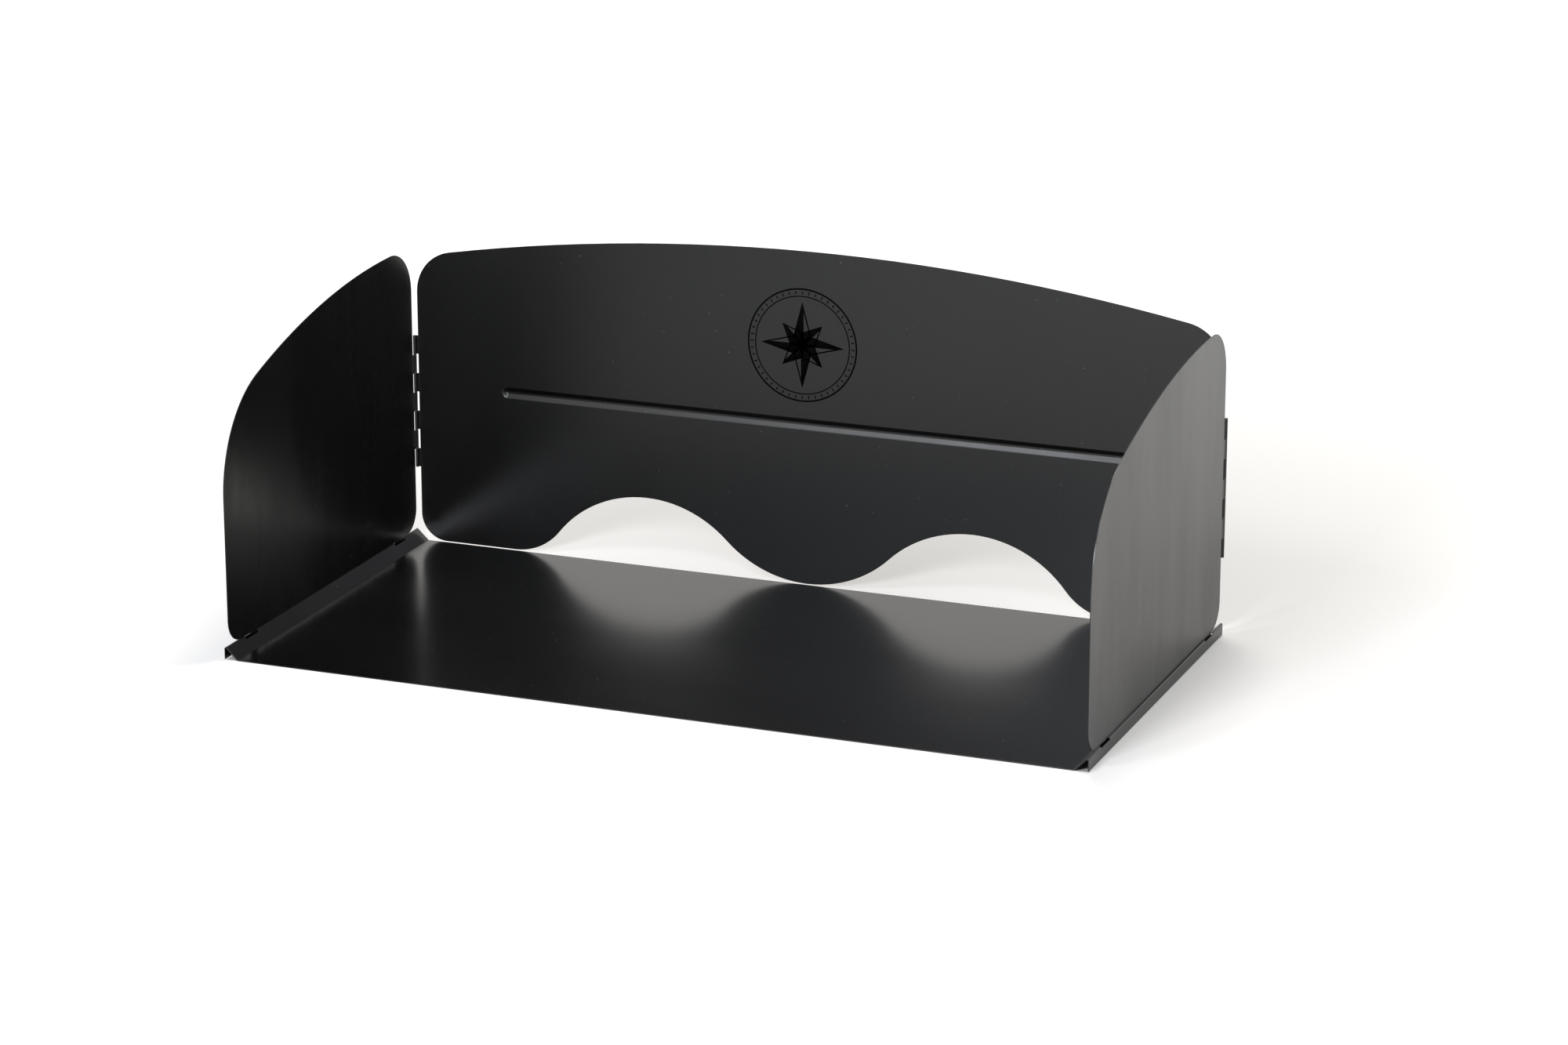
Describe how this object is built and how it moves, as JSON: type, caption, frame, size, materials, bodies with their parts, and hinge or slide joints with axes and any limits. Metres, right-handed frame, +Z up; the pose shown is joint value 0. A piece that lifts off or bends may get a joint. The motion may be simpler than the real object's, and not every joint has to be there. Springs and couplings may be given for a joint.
{
  "type": "camp kitchen windscreen",
  "caption": "Folding sheet-metal windscreen for a camp stove: a back panel with hinged side wings that stand on a ridged base plate, with arched vents along the foot.",
  "frame": {"origin": "on the surface it stands on, under the middle of the base plate's flat floor", "axes": "+Z up, +X to the right along the back panel, the open front faces -Y"},
  "size_m": [0.6198, 0.3052, 0.246],
  "materials": {
    "satin_black_paint": "satin black powder coat",
    "dark_pin_steel": "plain drawn steel wire"
  },
  "bodies": {
    "base": {"base_plate": "satin_black_paint"},
    "screen": {"back_panel": "satin_black_paint", "left_hinge_pin": "dark_pin_steel", "right_hinge_pin": "dark_pin_steel"},
    "left_wing": {"left_wing": "satin_black_paint"},
    "right_wing": {"right_wing": "satin_black_paint"}
  },
  "joints": [
    {"name": "screen_lift", "type": "slide", "parent": "base", "child": "screen", "axis": [0, 0, 1], "range_m": [0, 0.06]},
    {"name": "left_wing_fold", "type": "hinge", "parent": "screen", "child": "left_wing", "pos_m": [-0.30805, 0.15145, 0.10605], "axis": [0, 0, 1], "range_deg": [-90, 90]},
    {"name": "right_wing_fold", "type": "hinge", "parent": "screen", "child": "right_wing", "pos_m": [0.30805, 0.15145, 0.10605], "axis": [0, 0, -1], "range_deg": [-90, 90]}
  ]
}
